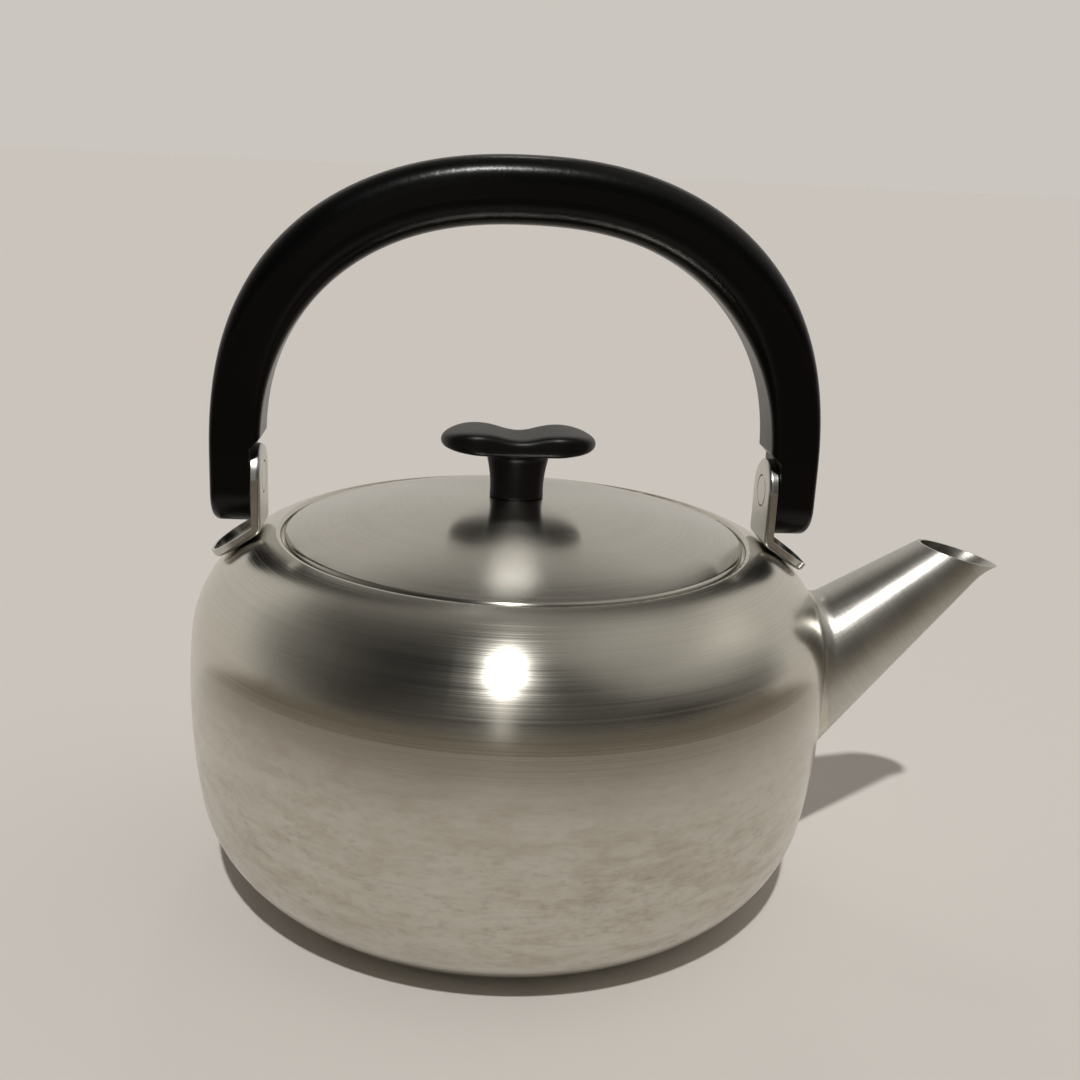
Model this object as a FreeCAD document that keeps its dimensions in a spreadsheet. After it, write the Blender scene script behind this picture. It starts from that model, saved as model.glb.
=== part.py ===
import FreeCAD, Part
import math
import os
import re

import Sketcher

# Stovetop kettle, 2.5 litres. Millimetres, +Z up, +X towards the spout.
# The origin is the centre of the flat base, on the axis of the round body.

V = FreeCAD.Vector
doc = FreeCAD.newDocument("kettle")

# --------------------------------------------------------------------------- driving dimensions

DIMENSIONS = [
    # sheet metal and body
    ("sheet", 0.8, "thickness of the drawn steel sheet"),
    ("body_radius", 97.5, "largest radius of the body"),
    ("bulge_height", 62, "height of the largest radius"),
    ("lower_arc", 36, "radius of the arc between base and side"),
    ("side_arc", 200, "radius of the side's arc"),
    ("shoulder_arc", 34, "radius of the arc between side and mouth"),
    ("shoulder_angle", 5.1, "degrees above level where the side gives way to the shoulder"),
    ("lip_angle", 74.4, "degrees above level where the shoulder gives way to the lip"),
    ("lip_bend", 1.3, "outer radius of the rolled lip"),
    ("ledge_depth", 2.55, "lid seat below the top of the lip"),
    ("ledge_width", 4.4, "width of the lid seat"),
    ("neck_bend", 1.4, "radius where the seat turns down into the neck"),
    ("neck_depth", 3.2, "length of the neck below the seat"),
    # base
    ("base_opening", 52, "radius of the hole under the body that the base plate closes"),
    ("base_lap", 6, "width of the base plate's lap inside the body"),
    ("base_bead_radius", 38, "radius of the stiffening bead pressed in the base plate"),
    ("base_bead_width", 4, "width of that bead"),
    ("base_bead_height", 0.6, "height of that bead"),
    ("weld_gap", 0.02, "gap left at a welded or moulded seam"),
    # spout
    ("spout_tilt", 39.9, "degrees that the spout rises"),
    ("spout_set_in", 2, "depth inside the bulge at which the spout's axis passes the body's side"),
    ("spout_rise", 5.2, "height of that point above the bulge"),
    ("spout_root_radius", 20, "outer radius of the spout there"),
    ("spout_taper", 9.74, "half angle of the spout's cone"),
    ("spout_length", 59.7, "from the root to the middle of the mouth"),
    ("spout_stock", 69, "from the root to the end of the cone before it is cut"),
    ("spout_flare_length", 10.4, "length over which the pouring edge flares"),
    ("spout_flare", 3.0, "how far it flares at the end of the stock"),
    ("spout_depth", 45, "how far the cone starts inside the body"),
    ("mouth_slant", 14.4, "degrees that the mouth slants down towards its tip"),
    ("root_blend", 4.5, "outer radius where the body is drawn out into the spout's collar"),
    ("seam_stand", 4.0, "how much larger the weld's curve is than the body"),
    ("seam_reach", 1.7, "how far the weld stands off the body beside the spout's axis"),
    ("seam_tilt", 9.3, "degrees that the weld leans out at its foot"),
    # lid
    ("lid_gap", 0.9, "gap between the lid's edge and the lip"),
    ("lid_bend", 1.4, "outer radius of the lid's turned-down edge"),
    ("lid_rim_drop", 1.4, "height of the straight part of that edge"),
    ("lid_dome", 225, "radius of the lid's dome"),
    ("lid_seat_gap", 0.05, "gap between the lid's edge and its seat"),
    ("skirt_gap", 0.12, "gap between the lid's underside and what is fixed to it"),
    ("skirt_sheet", 0.6, "thickness of the locating ring under the lid"),
    ("skirt_clearance", 0.6, "gap between that ring and the neck"),
    ("skirt_drop", 9.0, "height of that ring"),
    ("skirt_flange", 4.0, "width of the ring's welded flange"),
    # knob
    ("knob_length", 47.2, "length of the knob's plate"),
    ("knob_width", 23, "width of the knob's plate"),
    ("knob_waist", 1.2, "how far the plate's long sides draw in at the middle"),
    ("knob_rise", 20.8, "from the top of the lid to the plate's highest points"),
    ("knob_saddle", 1.9, "how far the middle of the plate's top lies below those points"),
    ("knob_plate", 5.4, "thickness of the plate at the middle"),
    ("knob_edge", 1.95, "rounding of the plate's edge"),
    ("stem_length", 16.4, "length of the stem's section at its foot"),
    ("stem_width", 12.6, "width of the stem's section at its foot"),
    ("stem_flare", 1.5, "how far the stem widens on each side under the plate"),
    ("insert_radius", 4.0, "radius of the knob's threaded insert"),
    ("insert_length", 11, "length of that insert"),
    ("screw_radius", 2.0, "radius of the knob screw"),
    ("screw_head_radius", 3.8, "radius of its head"),
    ("screw_head", 2.4, "height of its head"),
    ("screw_reach", 8.5, "how far the screw goes into the insert"),
    ("screw_clearance", 0.25, "gap round the screw in the lid"),
    ("washer_radius", 6.5, "radius of the washer under that head"),
    ("washer_sheet", 1.0, "thickness of that washer"),
    # brackets and pivots
    ("ear_offset", 5.45, "from the lip's inner wall out to the inner face of each ear"),
    ("pivot_rise", 14.8, "from the top of the lip up to the pivots"),
    ("ear_radius", 10, "half the width of an ear, and the radius of its top"),
    ("bracket_sheet", 1.0, "thickness of the bracket's sheet"),
    ("bracket_depth", 2.7, "depth of the bracket's raised rim"),
    ("bracket_edge", 1.2, "rounding of a bracket's pressed outer edges"),
    ("bracket_bend", 3.0, "outer radius of the bend between ear and foot"),
    ("foot_gap", 0.05, "gap left under the foot at its weld"),
    ("foot_slope", 34, "degrees that the foot slopes down"),
    ("foot_reach", 9.6, "length of the foot beyond the point where it meets the shoulder"),
    ("foot_corner", 8, "radius of the foot's corners"),
    ("pin_head_radius", 4.75, "radius of the pin's head"),
    ("pin_head", 0.95, "thickness of the pin's head"),
    ("pin_radius", 2.5, "radius of the pin's journal"),
    ("pin_reach", 9.0, "how far the pin goes into the handle"),
    ("dish_depth", 1.0, "depth of the dish that the pin's head lies in"),
    ("dish_floor", 0.9, "thickness of the dish's floor"),
    ("dish_radius", 6, "outer radius of the dish"),
    ("head_clearance", 0.2, "gap round the pin's head"),
    ("running_clearance", 0.05, "gap round the pin in the ear"),
    ("spring_sheet", 0.4, "thickness of the spring washer"),
    ("spring_radius", 5.6, "radius of the spring washer"),
    ("spring_gap", 0.05, "gap at each side of the spring washer"),
    ("bush_wall", 1.7, "wall of the bush moulded into the handle"),
    # handle
    ("ear_gap", 0.3, "gap between the ear's rim and the handle"),
    ("leg_thickness", 11.8, "thickness of a leg where it passes the ear"),
    ("leg_recess", 2.9, "depth of the recess that the ear lies in"),
    ("leg_width", 20, "width of a leg"),
    ("leg_drop", 13.3, "from the pivots down to the end of the legs"),
    ("leg_corner", 2.6, "rounding of a leg's edges"),
    ("notch_rise", 10.2, "from the pivots up to the end of the recess"),
    ("grip_thickness", 19.3, "thickness of the grip at its top"),
    ("grip_width", 24, "width of the grip at its top"),
    ("grip_corner", 7.5, "rounding of the grip's edges at its top"),
    ("bail_rise", 78.3, "height of the bail's arch above its springing"),
    ("bail_spring", 8, "height of that springing above the pivots"),
    ("swell_angle_sine", 0.5, "sine of the angle up the arch by which the leg has swelled to the grip"),
    ("swell_power", 2.4, "exponent of that swelling: more is more sudden"),
    ("bail_power", 2.3, "exponent of the arch: 2 is an ellipse, more is squarer"),
]
ARCH_SECTIONS = 15

sheet_object = doc.addObject("Spreadsheet::Sheet", "Sizes")
for row, (alias, number, meaning) in enumerate(DIMENSIONS, start=1):
    sheet_object.set(f"A{row}", meaning)
    sheet_object.set(f"B{row}", str(number))
    sheet_object.setAlias(f"B{row}", alias)
doc.recompute()

# Lengths and places that follow from the driving dimensions.
DERIVED = {
    # centres of the arcs in the body's outline
    "side_x": "body_radius - side_arc",
    "lower_sine": "(lower_arc - bulge_height) / (side_arc - lower_arc)",
    "lower_cosine": "sqrt(1 - lower_sine ^ 2)",
    "lower_x": "side_x + (side_arc - lower_arc) * lower_cosine",
    "shoulder_x": "side_x + (side_arc - shoulder_arc) * cos(shoulder_angle)",
    "shoulder_z": "bulge_height + (side_arc - shoulder_arc) * sin(shoulder_angle)",
    "lip_x": "shoulder_x + (shoulder_arc - lip_bend) * cos(lip_angle)",
    "lip_z": "shoulder_z + (shoulder_arc - lip_bend) * sin(lip_angle)",
    # mouth
    "lip_top": "lip_z + lip_bend",
    "mouth_radius": "lip_x - lip_bend",
    "ledge_z": "lip_top - ledge_depth",
    "neck_radius": "mouth_radius - ledge_width",
    "neck_end": "ledge_z - neck_depth",
    # spout
    "spout_root_x": "body_radius - spout_set_in",
    "spout_root_height": "bulge_height + spout_rise",
    "flare_along": "spout_flare_length / cos(spout_taper) - spout_flare * sin(spout_taper)",
    "flare_across": "spout_flare * cos(spout_taper)",
    "flare_arc": "(flare_along ^ 2 + flare_across ^ 2) / (2 * flare_across)",
    "flare_start": "spout_stock - spout_flare_length",
    "seam_radius": "body_radius + seam_stand",
    "seam_x": "body_radius + seam_reach - seam_radius * cos(seam_tilt)",
    "seam_z": "spout_root_height - seam_radius * sin(seam_tilt)",
    # lid
    "lid_radius": "mouth_radius - lid_gap",
    "lid_foot": "ledge_z + lid_seat_gap",
    "lid_rim": "lid_foot + lid_rim_drop",
    "lid_sine": "(lid_radius - lid_bend) / (lid_dome - lid_bend)",
    "lid_cosine": "sqrt(1 - lid_sine ^ 2)",
    "lid_top": "lid_rim + lid_dome - (lid_dome - lid_bend) * lid_cosine",
    "dome_z": "lid_top - lid_dome",
    "skirt_radius": "neck_radius - skirt_clearance",
    "knob_foot": "lid_top + weld_gap",
    "knob_top": "lid_top + knob_rise",
    "plate_foot": "knob_top - knob_saddle - knob_plate",
    # pivots
    "ear_face": "mouth_radius + ear_offset",
    "pivot_z": "lip_top + pivot_rise",
    "dish_back": "ear_face + dish_depth + dish_floor",
    "recess_face": "ear_face + bracket_depth + ear_gap",
    "leg_face": "recess_face + leg_thickness",
    "leg_inner": "recess_face - leg_recess",
    "leg_full": "leg_thickness + leg_recess",
    "foot_x": "shoulder_x + (shoulder_arc + foot_gap) * sin(foot_slope)",
    "foot_z": "shoulder_z + (shoulder_arc + foot_gap) * cos(foot_slope)",
    "bail_span": "(leg_face + leg_inner) / 2",
    "arch_z": "pivot_z + bail_spring",
    "bush_radius": "pin_radius + bush_wall",
}
WORD = re.compile(r"\b[a-z][a-z_]*\b")
ALIASES = {alias for alias, number, meaning in DIMENSIONS}


def link(text):
    """An expression in the words above, as one that refers to the sheet's cells."""

    def swap(match):
        word = match.group(0)
        if word in DERIVED:
            return "(" + link(DERIVED[word]) + ")"
        return "Sizes." + word if word in ALIASES else word

    return WORD.sub(swap, str(text))


def size(text):
    """The value of an expression in the words above."""
    return float(sheet_object.evalExpression(link(text)))


def bind(target, **expressions):
    """Binds properties to expressions; a double underscore stands for a dot."""
    for name, text in expressions.items():
        target.setExpression(name.replace("__", "."), link(text))


# --------------------------------------------------------------------------- building blocks


def new_body(label):
    body = doc.addObject("PartDesign::Body", label)
    body.Label = label
    return body


def plane_of(body, role):
    return next(feature for feature in body.Origin.OriginFeatures if feature.Role == role)


def new_sketch(body, name, role="XZ_Plane"):
    """A sketch on one of the body's own planes. On XZ_Plane its axes are the kettle's X and Z."""
    sketch = body.newObject("Sketcher::SketchObject", name)
    sketch.AttachmentSupport = (plane_of(body, role), [""])
    sketch.MapMode = "FlatFace"
    return sketch


def pin_point(sketch, geometry, point, place):
    """Ties a point of a sketch to a pair of expressions."""
    for kind, text in zip(("DistanceX", "DistanceY"), place):
        number = sketch.addConstraint(
            Sketcher.Constraint(kind, -1, 1, geometry, point, size(text))
        )
        sketch.setExpression(f"Constraints[{number}]", link(text))


def arc_between(start, end, radius):
    """The shorter arc from start to end. A positive radius turns left, a negative one right."""
    chord = end - start
    across = V(-chord.y, chord.x, 0).normalize()
    reach = math.sqrt(max(radius ** 2 - (chord.Length / 2) ** 2, 0))
    centre = (start + end) / 2 + across * math.copysign(reach, radius)
    circle = Part.Circle(centre, V(0, 0, 1), abs(radius))
    if radius > 0:
        first, last = start, end
    else:
        first, last = end, start
    angles = [math.atan2(p.y - centre.y, p.x - centre.x) for p in (first, last)]
    return Part.ArcOfCircle(circle, angles[0], angles[1])


def outline(sketch, steps):
    """Draws a closed outline. A step is (x, y), reached by a straight line,
    or (x, y, radius), reached by an arc that turns left, or right if the radius has a minus."""
    count = len(steps)
    places = [step[:2] for step in steps]
    points = [V(size(x), size(y), 0) for x, y in places]
    ends = []
    for index in range(count):
        step = steps[index]
        start = points[index - 1]
        end = points[index]
        if len(step) == 3:
            radius = size(step[2])
            number = sketch.addGeometry(arc_between(start, end, radius))
            ends.append((number, 1, 2) if radius > 0 else (number, 2, 1))
            held = sketch.addConstraint(Sketcher.Constraint("Radius", number, abs(radius)))
            sketch.setExpression(f"Constraints[{held}]", link(f"abs({step[2]})"))
        else:
            number = sketch.addGeometry(Part.LineSegment(start, end))
            ends.append((number, 1, 2))
    for index in range(count):
        number, first, last = ends[index]
        following, next_first, next_last = ends[(index + 1) % count]
        sketch.addConstraint(
            Sketcher.Constraint("Coincident", number, last, following, next_first)
        )
        pin_point(sketch, number, last, places[index])
    return sketch


def turned(body, name, steps, kind="PartDesign::Revolution", place=None, axis="V_Axis"):
    """A solid, or a cut, made by turning an outline about one of the sketch's axes."""
    sketch = new_sketch(body, name + "_outline")
    if place:
        place(sketch)
    outline(sketch, steps)
    feature = body.newObject(kind, name)
    feature.Profile = sketch
    feature.ReferenceAxis = (sketch, [axis])
    feature.Angle = 360
    doc.recompute()
    return feature


def padded(body, name, steps, length, role="XZ_Plane", place=None):
    """A solid made by extending an outline equally to both sides of its plane."""
    sketch = new_sketch(body, name + "_outline", role)
    if place:
        place(sketch)
    outline(sketch, steps)
    feature = body.newObject("PartDesign::Pad", name)
    feature.Profile = sketch
    feature.Midplane = True
    feature.Length = size(length)
    bind(feature, Length=length)
    doc.recompute()
    return feature


def rounded(body, name, base, wanted, radius):
    """Rounds the edges of a feature for which wanted(edge) is true."""
    names = [f"Edge{n}" for n, edge in enumerate(base.Shape.Edges, start=1) if wanted(edge)]
    fillet = body.newObject("PartDesign::Fillet", name)
    fillet.Base = (base, names)
    fillet.Radius = size(radius)
    bind(fillet, Radius=radius)
    doc.recompute()
    return fillet


def solid_of_revolution(label, steps):
    body = new_body(label)
    turned(body, label + "_turned", steps)
    return body


def cylinder(name, radius, length, x="0", z="0", lying=True):
    """A cylinder that starts at the given place and runs along +X, or up along +Z."""
    made = doc.addObject("Part::Cylinder", name)
    if lying:
        made.Placement = FreeCAD.Placement(V(0, 0, 0), FreeCAD.Rotation(V(0, 1, 0), 90))
    bind(made, Radius=radius, Height=length, Placement__Base__x=x, Placement__Base__z=z)
    return made


def boolean(kind, label, base, tool):
    made = doc.addObject(kind, label)
    made.Label = label
    made.Base = base
    made.Tool = tool
    return made


def mirrored(label, source):
    """The same piece on the other side of the kettle."""
    made = doc.addObject("Part::Mirroring", label)
    made.Label = label
    made.Source = source
    made.Normal = V(1, 0, 0)
    return made


# --------------------------------------------------------------------------- body and spout
# Body and spout start as one vessel, so that the collar drawn out of the body runs
# smoothly into the cone. The weld parts them.


def body_outline(inset):
    """From the base's axis round the outside to the lip, set in by the given thickness."""
    return [
        ("lower_x", inset),
        (
            f"side_x + (side_arc - ({inset})) * lower_cosine",
            f"bulge_height + (side_arc - ({inset})) * lower_sine",
            f"lower_arc - ({inset})",
        ),
        (
            f"side_x + (side_arc - ({inset})) * cos(shoulder_angle)",
            f"bulge_height + (side_arc - ({inset})) * sin(shoulder_angle)",
            f"side_arc - ({inset})",
        ),
        (
            f"shoulder_x + (shoulder_arc - ({inset})) * cos(lip_angle)",
            f"shoulder_z + (shoulder_arc - ({inset})) * sin(lip_angle)",
            f"shoulder_arc - ({inset})",
        ),
        (f"mouth_radius + ({inset})", "lip_z", f"lip_bend - ({inset})"),
    ]


def cone_outline(inset, start):
    """Half of the spout's section: a cone whose end flares into the pouring edge."""
    radius = "spout_root_radius - tan(spout_taper) * "
    return [
        ("0", start),
        (f"{radius}({start}) - ({inset})", start),
        (f"{radius}flare_start - ({inset})", "flare_start"),
        (
            f"{radius}spout_stock + spout_flare - ({inset})",
            "spout_stock",
            "-flare_arc",
        ),
        ("0", "spout_stock"),
    ]


def on_spout_axis(sketch):
    """Stands the sketch at the spout's root with its upright axis along the spout."""
    turn = FreeCAD.Rotation(V(0, 0, -1), 90 - size("spout_tilt"))
    sketch.AttachmentOffset = FreeCAD.Placement(V(0, 0, 0), turn)
    bind(
        sketch,
        AttachmentOffset__Base__x="spout_root_x",
        AttachmentOffset__Base__y="spout_root_height",
        AttachmentOffset__Rotation__Angle="90 - spout_tilt",
    )


def at_spout_root(inset):
    """Picks the edges where the spout's cone meets the side of the body."""
    reach = size("spout_root_radius") * 1.6
    middle = V(size("spout_root_x"), 0, size("spout_root_height"))
    axis = V(math.cos(math.radians(size("spout_tilt"))), 0, math.sin(math.radians(size("spout_tilt"))))
    taper = math.tan(math.radians(size("spout_taper")))

    def wanted(edge):
        for share in (0.2, 0.5, 0.8):
            span = edge.LastParameter - edge.FirstParameter
            offset = edge.valueAt(edge.FirstParameter + share * span) - middle
            along = offset.dot(axis)
            radius = (offset - axis * along).Length
            expected = size("spout_root_radius") - size(inset) - along * taper
            if abs(radius - expected) > 0.05 or offset.Length > reach:
                return False
        return abs(edge.valueAt(edge.FirstParameter).y - edge.valueAt(edge.LastParameter).y) > 1

    return wanted


vessel = new_body("vessel")
turned(
    vessel,
    "blank",
    [("0", "0")] + body_outline("0") + [("mouth_radius", "ledge_z"), ("0", "ledge_z")],
)
spout_stock = turned(
    vessel,
    "spout_cone",
    cone_outline("0", "-spout_depth"),
    place=on_spout_axis,
)
rounded(vessel, "collar", spout_stock, at_spout_root("0"), "root_blend")
turned(
    vessel,
    "hollow",
    [("0", "-1"), ("base_opening", "-1"), ("base_opening", "sheet")]
    + body_outline("sheet")
    + [
        ("mouth_radius + sheet", "ledge_z - sheet"),
        ("neck_radius + neck_bend", "ledge_z - sheet"),
        ("neck_radius + sheet", "ledge_z - neck_bend", "neck_bend - sheet"),
        ("neck_radius + sheet", "neck_end"),
        ("neck_radius", "neck_end"),
        ("neck_radius", "ledge_z - neck_bend"),
        ("neck_radius + neck_bend", "ledge_z", "-neck_bend"),
        ("neck_radius + neck_bend", "ledge_z + 1"),
        ("0", "ledge_z + 1"),
    ],
    kind="PartDesign::Groove",
)
spout_bore = turned(
    vessel,
    "spout_bore",
    cone_outline("sheet", "-spout_root_radius"),
    kind="PartDesign::Groove",
    place=on_spout_axis,
)
rounded(vessel, "collar_inside", spout_bore, at_spout_root("sheet"), "root_blend + sheet")

# The weld lies on a drum that leans the way the weld does.
DRUM_FOOT = "body_radius * 1.5"


def drum(name, radius):
    made = doc.addObject("Part::Cylinder", name)
    made.Placement = FreeCAD.Placement(
        V(0, 0, 0), FreeCAD.Rotation(V(0, -1, 0), size("seam_tilt"))
    )
    bind(
        made,
        Radius=radius,
        Height="body_radius * 4",
        Placement__Rotation__Angle="seam_tilt",
        Placement__Base__x=f"seam_x + {DRUM_FOOT} * sin(seam_tilt)",
        Placement__Base__z=f"seam_z - {DRUM_FOOT} * cos(seam_tilt)",
    )
    return made


body_shell = boolean("Part::Common", "body_shell", vessel, drum("seam_drum", "seam_radius"))
spout_blank = boolean(
    "Part::Cut", "spout_blank", vessel, drum("spout_seam_drum", "seam_radius + weld_gap")
)

# The mouth is cut by a block whose lower face is the plane of the mouth.
mouth_block = doc.addObject("Part::Box", "mouth_block")
mouth_block.Placement = FreeCAD.Placement(
    V(0, 0, 0), FreeCAD.Rotation(V(0, 1, 0), size("mouth_slant"))
)
bind(
    mouth_block,
    Length="spout_stock * 2",
    Width="spout_stock * 2",
    Height="spout_stock",
    Placement__Rotation__Angle="mouth_slant",
    Placement__Base__x=(
        "spout_root_x + spout_length * cos(spout_tilt) - spout_stock * cos(mouth_slant)"
    ),
    Placement__Base__y="-spout_stock",
    Placement__Base__z=(
        "spout_root_height + spout_length * sin(spout_tilt) + spout_stock * sin(mouth_slant)"
    ),
)
spout = boolean("Part::Cut", "spout", spout_blank, mouth_block)

# --------------------------------------------------------------------------- base plate

base_plate = solid_of_revolution(
    "base_plate",
    [
        ("0", "0"),
        ("base_bead_radius", "0"),
        ("base_bead_radius + base_bead_height", "base_bead_height"),
        ("base_bead_radius + base_bead_width - base_bead_height", "base_bead_height"),
        ("base_bead_radius + base_bead_width", "0"),
        ("base_opening - weld_gap", "0"),
        ("base_opening - weld_gap", "sheet + weld_gap"),
        ("base_opening + base_lap", "sheet + weld_gap"),
        ("base_opening + base_lap", "2 * sheet + weld_gap"),
        ("base_opening - sheet - weld_gap", "2 * sheet + weld_gap"),
        ("base_opening - sheet - weld_gap", "sheet"),
        ("base_bead_radius + base_bead_width", "sheet"),
        (
            "base_bead_radius + base_bead_width - base_bead_height",
            "sheet + base_bead_height",
        ),
        ("base_bead_radius + base_bead_height", "sheet + base_bead_height"),
        ("base_bead_radius", "sheet"),
        ("0", "sheet"),
    ],
)

# --------------------------------------------------------------------------- lid


def under_dome(radius):
    """Height just under the dome at a radius, where the fixed pieces lie."""
    return f"dome_z + sqrt((lid_dome - sheet) ^ 2 - ({radius}) ^ 2) - skirt_gap"


SCREW_HOLE = "screw_radius + screw_clearance"
lid_dome = solid_of_revolution(
    "lid_dome",
    [
        (SCREW_HOLE, f"dome_z + sqrt((lid_dome - sheet) ^ 2 - ({SCREW_HOLE}) ^ 2)"),
        (
            "(lid_dome - sheet) * lid_sine",
            "dome_z + (lid_dome - sheet) * lid_cosine",
            "-(lid_dome - sheet)",
        ),
        ("lid_radius - sheet", "lid_rim", "-(lid_bend - sheet)"),
        ("lid_radius - sheet", "lid_foot"),
        ("lid_radius", "lid_foot"),
        ("lid_radius", "lid_rim"),
        ("lid_dome * lid_sine", "dome_z + lid_dome * lid_cosine", "lid_bend"),
        (SCREW_HOLE, f"dome_z + sqrt(lid_dome ^ 2 - ({SCREW_HOLE}) ^ 2)", "lid_dome"),
    ],
)

FLANGE_EDGE = "skirt_radius - skirt_flange"
lid_skirt = solid_of_revolution(
    "lid_skirt",
    [
        ("skirt_radius", under_dome("skirt_radius") + " - skirt_drop"),
        ("skirt_radius", under_dome("skirt_radius")),
        (FLANGE_EDGE, under_dome(FLANGE_EDGE), "lid_dome"),
        (FLANGE_EDGE, under_dome(FLANGE_EDGE) + " - skirt_sheet"),
        (
            "skirt_radius - skirt_sheet",
            under_dome("skirt_radius") + " - skirt_sheet",
            "-lid_dome",
        ),
        ("skirt_radius - skirt_sheet", under_dome("skirt_radius") + " - skirt_drop"),
    ],
)

# --------------------------------------------------------------------------- knob
# The plate is the overlap of its side view and its plan, with its rims rounded. Both
# views swing smoothly from the ends' round to the hollow in the middle.

HALF = "knob_length / 2"


def swing(sag, half):
    """Sine and cosine of the slope where a hollow of this sag meets the rounds beside it."""
    tangent = f"(({sag}) / ({half}))"
    sine = f"(2 * {tangent} / (1 + {tangent} ^ 2))"
    cosine = f"((1 - {tangent} ^ 2) / (1 + {tangent} ^ 2))"
    return sine, cosine


def side_view():
    peak = "knob_length * 0.27"
    dip = "knob_length * 0.1"
    sine, cosine = swing("knob_saddle", peak)
    hollow = f"({dip}) / {sine}"
    lobe = f"(({peak} - {dip}) / {sine})"
    dip_z = f"knob_top - {lobe} * (1 - {cosine})"
    end_z = f"knob_top - {lobe} + sqrt({lobe} ^ 2 - ({HALF} - {peak}) ^ 2)"
    sag = "knob_plate * 0.3"
    foot_end = f"plate_foot + {sag}"
    return [
        (f"-{HALF}", foot_end),
        (HALF, foot_end, f"(({HALF}) ^ 2 + ({sag}) ^ 2) / (2 * {sag})"),
        (HALF, end_z),
        (dip, dip_z, lobe),
        (f"-{dip}", dip_z, f"-({hollow})"),
        (f"-{HALF}", end_z, lobe),
    ]


def plan_view():
    round_x = "(knob_length - knob_width) / 2"
    sine, cosine = swing("knob_waist", round_x)
    meet_x = f"({round_x} - knob_width / 2 * {sine})"
    meet_y = f"(knob_width / 2 * {cosine})"
    hollow = f"({meet_x} / {sine})"
    return [
        (meet_x, meet_y, "knob_width / 2"),
        (f"-{meet_x}", meet_y, f"-{hollow}"),
        (f"-{HALF}", "0", "knob_width / 2"),
        (f"-{meet_x}", f"-{meet_y}", "knob_width / 2"),
        (meet_x, f"-{meet_y}", f"-{hollow}"),
        (HALF, "0", "knob_width / 2"),
    ]


knob_side = new_body("knob_side")
padded(knob_side, "side_view", side_view(), "knob_width * 2")
knob_plan = new_body("knob_plan")
padded(knob_plan, "plan_view", plan_view(), "knob_top * 4", role="XY_Plane")
knob_blank = boolean("Part::Common", "knob_blank", knob_side, knob_plan)
doc.recompute()

# The rims are the curved edges; the straight ones lie where surfaces run on smoothly.
knob_plate = doc.addObject("Part::Fillet", "knob_plate_rounded")
knob_plate.Base = knob_blank
knob_plate.Edges = [
    (number, size("knob_edge"), size("knob_edge"))
    for number, edge in enumerate(knob_blank.Shape.Edges, start=1)
    if type(edge.Curve).__name__ != "Line"
]


def stem_section(name, spread, height):
    section = doc.addObject("Part::Ellipse", name)
    bind(
        section,
        MajorRadius=f"stem_length / 2 + stem_flare * {spread}",
        MinorRadius=f"stem_width / 2 + stem_flare * {spread}",
        Placement__Base__z=height,
    )
    return section


knob_stem = doc.addObject("Part::Loft", "knob_stem")
knob_stem.Sections = [
    stem_section("stem_foot", 0, "knob_foot"),
    stem_section("stem_middle", 0.15, "knob_foot + (plate_foot - knob_foot) * 0.55"),
    stem_section("stem_head", 1, "plate_foot"),
    stem_section("stem_end", 1.3, "plate_foot + knob_plate * 0.3"),
]
knob_stem.Solid = True
knob_bore = cylinder(
    "knob_bore",
    "insert_radius + weld_gap",
    "insert_length + 1 + weld_gap",
    z="knob_foot - 1",
    lying=False,
)
lid_knob = boolean(
    "Part::Cut",
    "lid_knob",
    boolean("Part::Fuse", "knob_body", knob_plate, knob_stem),
    knob_bore,
)

knob_insert = solid_of_revolution(
    "knob_insert",
    [
        ("screw_radius + weld_gap", "knob_foot"),
        ("insert_radius", "knob_foot"),
        ("insert_radius", "knob_foot + insert_length"),
        ("0", "knob_foot + insert_length"),
        ("0", "knob_foot + screw_reach + 0.5"),
        ("screw_radius + weld_gap", "knob_foot + screw_reach + 0.5"),
    ],
)
WASHER_TOP = under_dome("washer_radius")
knob_washer = solid_of_revolution(
    "knob_washer",
    [
        ("screw_radius + screw_clearance", f"{WASHER_TOP} - washer_sheet"),
        ("washer_radius", f"{WASHER_TOP} - washer_sheet"),
        ("washer_radius", WASHER_TOP),
        ("screw_radius + screw_clearance", WASHER_TOP),
    ],
)
HEAD_TOP = f"{WASHER_TOP} - washer_sheet - weld_gap"
screw_blank = solid_of_revolution(
    "screw_blank",
    [
        ("0", f"{HEAD_TOP} - screw_head"),
        ("screw_head_radius * 0.6", f"{HEAD_TOP} - screw_head"),
        (
            "screw_head_radius",
            f"{HEAD_TOP} - screw_head * 0.4",
            "screw_head_radius * 0.45",
        ),
        ("screw_head_radius", HEAD_TOP),
        ("screw_radius", HEAD_TOP),
        ("screw_radius", "knob_foot + screw_reach"),
        ("0", "knob_foot + screw_reach"),
    ],
)
slot = doc.addObject("Part::Box", "screw_slot")
bind(
    slot,
    Length="screw_head_radius * 3",
    Width="screw_head * 0.4",
    Height="screw_head",
    Placement__Base__x="-screw_head_radius * 1.5",
    Placement__Base__y="-screw_head * 0.2",
    Placement__Base__z=f"{HEAD_TOP} - screw_head * 1.5",
)
knob_screw = boolean("Part::Cut", "knob_screw", screw_blank, slot)

# --------------------------------------------------------------------------- brackets
# Each bracket is a shallow pressed tray, bent once: the ear stands upright and the foot
# lies on the shoulder of the body. The tray's rim points outwards and up.


def foot_point(along, above):
    """A point beyond where the foot meets the shoulder, and above its underside."""
    return (
        f"foot_x + ({along}) * cos(foot_slope) + ({above}) * sin(foot_slope)",
        f"foot_z - ({along}) * sin(foot_slope) + ({above}) * cos(foot_slope)",
    )


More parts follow.
